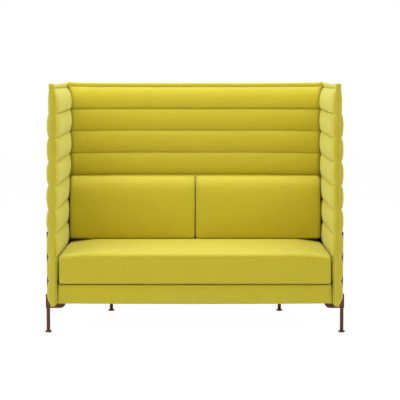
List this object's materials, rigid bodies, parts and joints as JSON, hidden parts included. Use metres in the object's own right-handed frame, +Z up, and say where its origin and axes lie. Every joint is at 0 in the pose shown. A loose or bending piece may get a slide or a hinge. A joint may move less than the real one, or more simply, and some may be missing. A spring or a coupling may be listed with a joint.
{
  "type": "high back settee",
  "caption": "High back settee: tall quilted side and back panels round a cushioned bench on slim brown metal legs.",
  "frame": {"origin": "on the floor under the middle of the settee", "axes": "+Z up, the open front faces -Y, +X to the right seen from the front"},
  "size_m": [1.6512, 0.8401, 1.365],
  "materials": {
    "mustard_wool": "matte",
    "brown_metal": "satin",
    "zinc_steel": "satin",
    "frame_wood": "matte",
    "panel_board": "matte",
    "zip_metal": "satin",
    "zip_tape": "matte",
    "lining_cloth": "matte",
    "foam": "matte"
  },
  "bodies": {
    "frame": {"back_panel_band": "mustard_wool", "back_panel_core": "panel_board", "back_panel_inner_pad": "mustard_wool", "back_panel_outer_pad": "mustard_wool", "corner_blocks": "frame_wood", "cradle_bolts": "zinc_steel", "deck_cloth": "lining_cloth", "dust_cover": "lining_cloth", "front_apron": "mustard_wool", "front_left_cradle": "brown_metal", "front_left_upright": "brown_metal", "front_rail": "frame_wood", "front_right_cradle": "brown_metal", "front_right_upright": "brown_metal", "left_apron": "mustard_wool", "left_panel_band": "mustard_wool", "left_panel_core": "panel_board", "left_panel_inner_pad": "mustard_wool", "left_panel_outer_pad": "mustard_wool", "left_rail": "frame_wood", "left_zip_tape": "zip_tape", "middle_rail": "frame_wood", "panel_screws": "zinc_steel", "rear_apron": "mustard_wool", "rear_left_cradle": "brown_metal", "rear_left_upright": "brown_metal", "rear_rail": "frame_wood", "rear_right_cradle": "brown_metal", "rear_right_upright": "brown_metal", "right_apron": "mustard_wool", "right_panel_band": "mustard_wool", "right_panel_core": "panel_board", "right_panel_inner_pad": "mustard_wool", "right_panel_outer_pad": "mustard_wool", "right_rail": "frame_wood", "right_zip_tape": "zip_tape", "seat_webbing": "lining_cloth"},
    "seat_cushion": {"seat_cushion_closing_cloth": "lining_cloth", "seat_cushion_cover": "mustard_wool", "seat_cushion_foam": "foam"},
    "left_back_cushion": {"left_back_cushion_closing_cloth": "lining_cloth", "left_back_cushion_cover": "mustard_wool", "left_back_cushion_foam": "foam"},
    "right_back_cushion": {"right_back_cushion_closing_cloth": "lining_cloth", "right_back_cushion_cover": "mustard_wool", "right_back_cushion_foam": "foam"},
    "left_zip_slider": {"left_zip_slider": "zip_metal"},
    "right_zip_slider": {"right_zip_slider": "zip_metal"},
    "front_left_leg": {"front_left_leg": "brown_metal", "front_left_leg_insert": "zinc_steel", "front_left_foot": "brown_metal"},
    "front_right_leg": {"front_right_leg": "brown_metal", "front_right_leg_insert": "zinc_steel", "front_right_foot": "brown_metal"},
    "rear_left_leg": {"rear_left_leg": "brown_metal", "rear_left_leg_insert": "zinc_steel", "rear_left_foot": "brown_metal"},
    "rear_right_leg": {"rear_right_leg": "brown_metal", "rear_right_leg_insert": "zinc_steel", "rear_right_foot": "brown_metal"}
  },
  "joints": [
    {"name": "seat_cushion_lift_out", "type": "slide", "parent": "frame", "child": "seat_cushion", "axis": [0, -1, 0], "range_m": [0, 0.6]},
    {"name": "left_back_cushion_lift_out", "type": "slide", "parent": "frame", "child": "left_back_cushion", "axis": [0, -1, 0], "range_m": [0, 0.6]},
    {"name": "right_back_cushion_lift_out", "type": "slide", "parent": "frame", "child": "right_back_cushion", "axis": [0, -1, 0], "range_m": [0, 0.6]},
    {"name": "left_zip_run", "type": "slide", "parent": "frame", "child": "left_zip_slider", "axis": [0, 0, -1], "range_m": [0, 1.1]},
    {"name": "right_zip_run", "type": "slide", "parent": "frame", "child": "right_zip_slider", "axis": [0, 0, -1], "range_m": [0, 1.1]},
    {"name": "front_left_leg_levelling", "type": "slide", "parent": "frame", "child": "front_left_leg", "axis": [0, 0, -1], "range_m": [0, 0.012]},
    {"name": "front_right_leg_levelling", "type": "slide", "parent": "frame", "child": "front_right_leg", "axis": [0, 0, -1], "range_m": [0, 0.012]},
    {"name": "rear_left_leg_levelling", "type": "slide", "parent": "frame", "child": "rear_left_leg", "axis": [0, 0, -1], "range_m": [0, 0.012]},
    {"name": "rear_right_leg_levelling", "type": "slide", "parent": "frame", "child": "rear_right_leg", "axis": [0, 0, -1], "range_m": [0, 0.012]}
  ]
}
